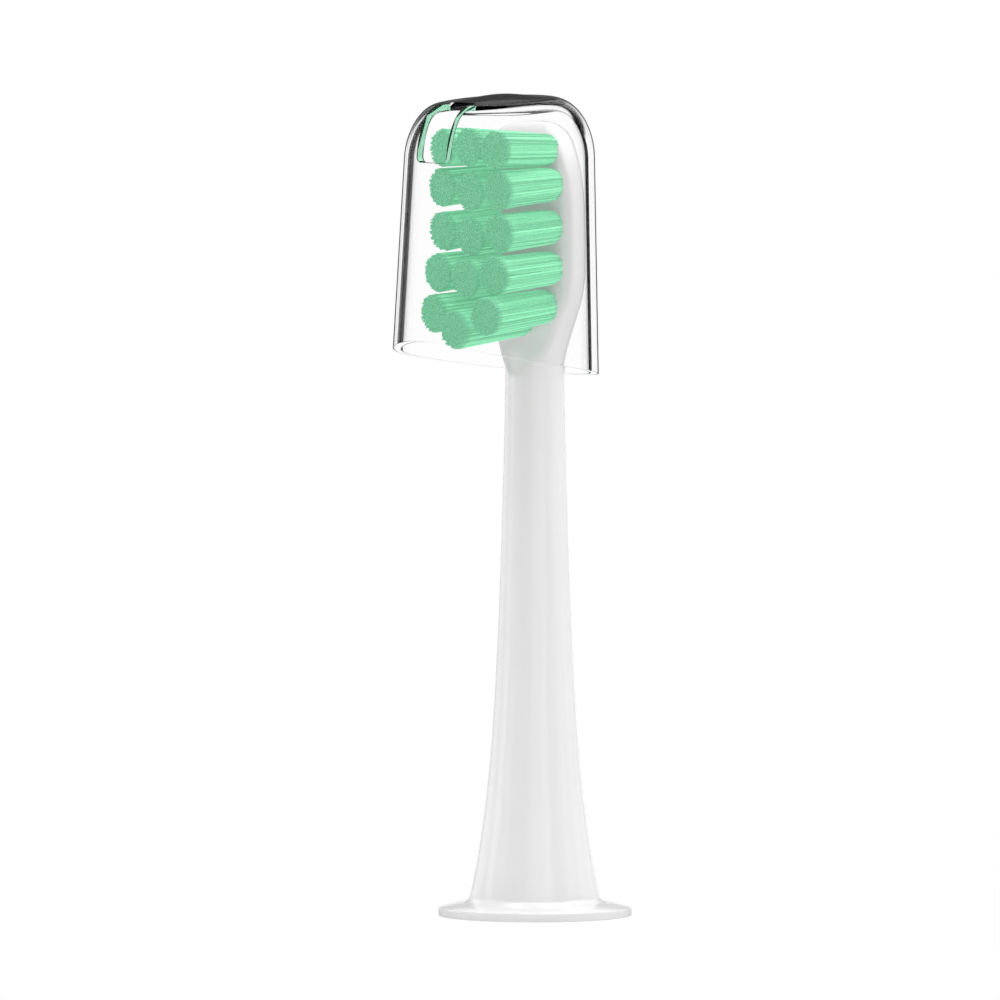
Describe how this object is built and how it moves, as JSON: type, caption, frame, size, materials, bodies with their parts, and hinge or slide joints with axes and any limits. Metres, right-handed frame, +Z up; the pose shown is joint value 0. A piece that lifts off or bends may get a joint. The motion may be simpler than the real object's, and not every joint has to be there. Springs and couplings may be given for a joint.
{
  "type": "electric toothbrush head",
  "caption": "Push-on brush head for a sonic toothbrush: slim flared neck on a round flange, paddle head with bristle tufts, clear travel cap with a vent slot.",
  "frame": {"origin": "centre of the drive socket's mouth, in the plane of the flange's underside", "axes": "+Z up the neck towards the head, -Y the way the bristles point, +X to the right seen from the bristles' side"},
  "size_m": [0.02, 0.0246, 0.0799],
  "materials": {
    "white_plastic": "smooth moulded white plastic, soft gloss",
    "insert_plastic": "moulded acetal, satin",
    "spring_steel": "rolled spring steel",
    "anchor_brass": "cut wire",
    "clear_plastic": "clear polished plastic",
    "bristle_nylon": "mint green nylon filaments, ends trimmed"
  },
  "bodies": {
    "brush": {"body": "white_plastic", "drive_insert": "insert_plastic", "shaft_spring": "spring_steel", "tuft_anchors": "anchor_brass", "tuft_1_left": "bristle_nylon", "tuft_1_middle": "bristle_nylon", "tuft_1_right": "bristle_nylon", "tuft_2_left": "bristle_nylon", "tuft_2_middle": "bristle_nylon", "tuft_2_right": "bristle_nylon", "tuft_3_left": "bristle_nylon", "tuft_3_middle": "bristle_nylon", "tuft_3_right": "bristle_nylon", "tuft_4_left": "bristle_nylon", "tuft_4_middle": "bristle_nylon", "tuft_4_right": "bristle_nylon", "tuft_5_left": "bristle_nylon", "tuft_5_middle": "bristle_nylon", "tuft_5_right": "bristle_nylon"},
    "cap_shell": {"cap": "clear_plastic"}
  },
  "joints": [
    {"name": "cap_pull", "type": "slide", "parent": "brush", "child": "cap_shell", "axis": [0, 0, 1], "range_m": [0, 0.03]}
  ]
}
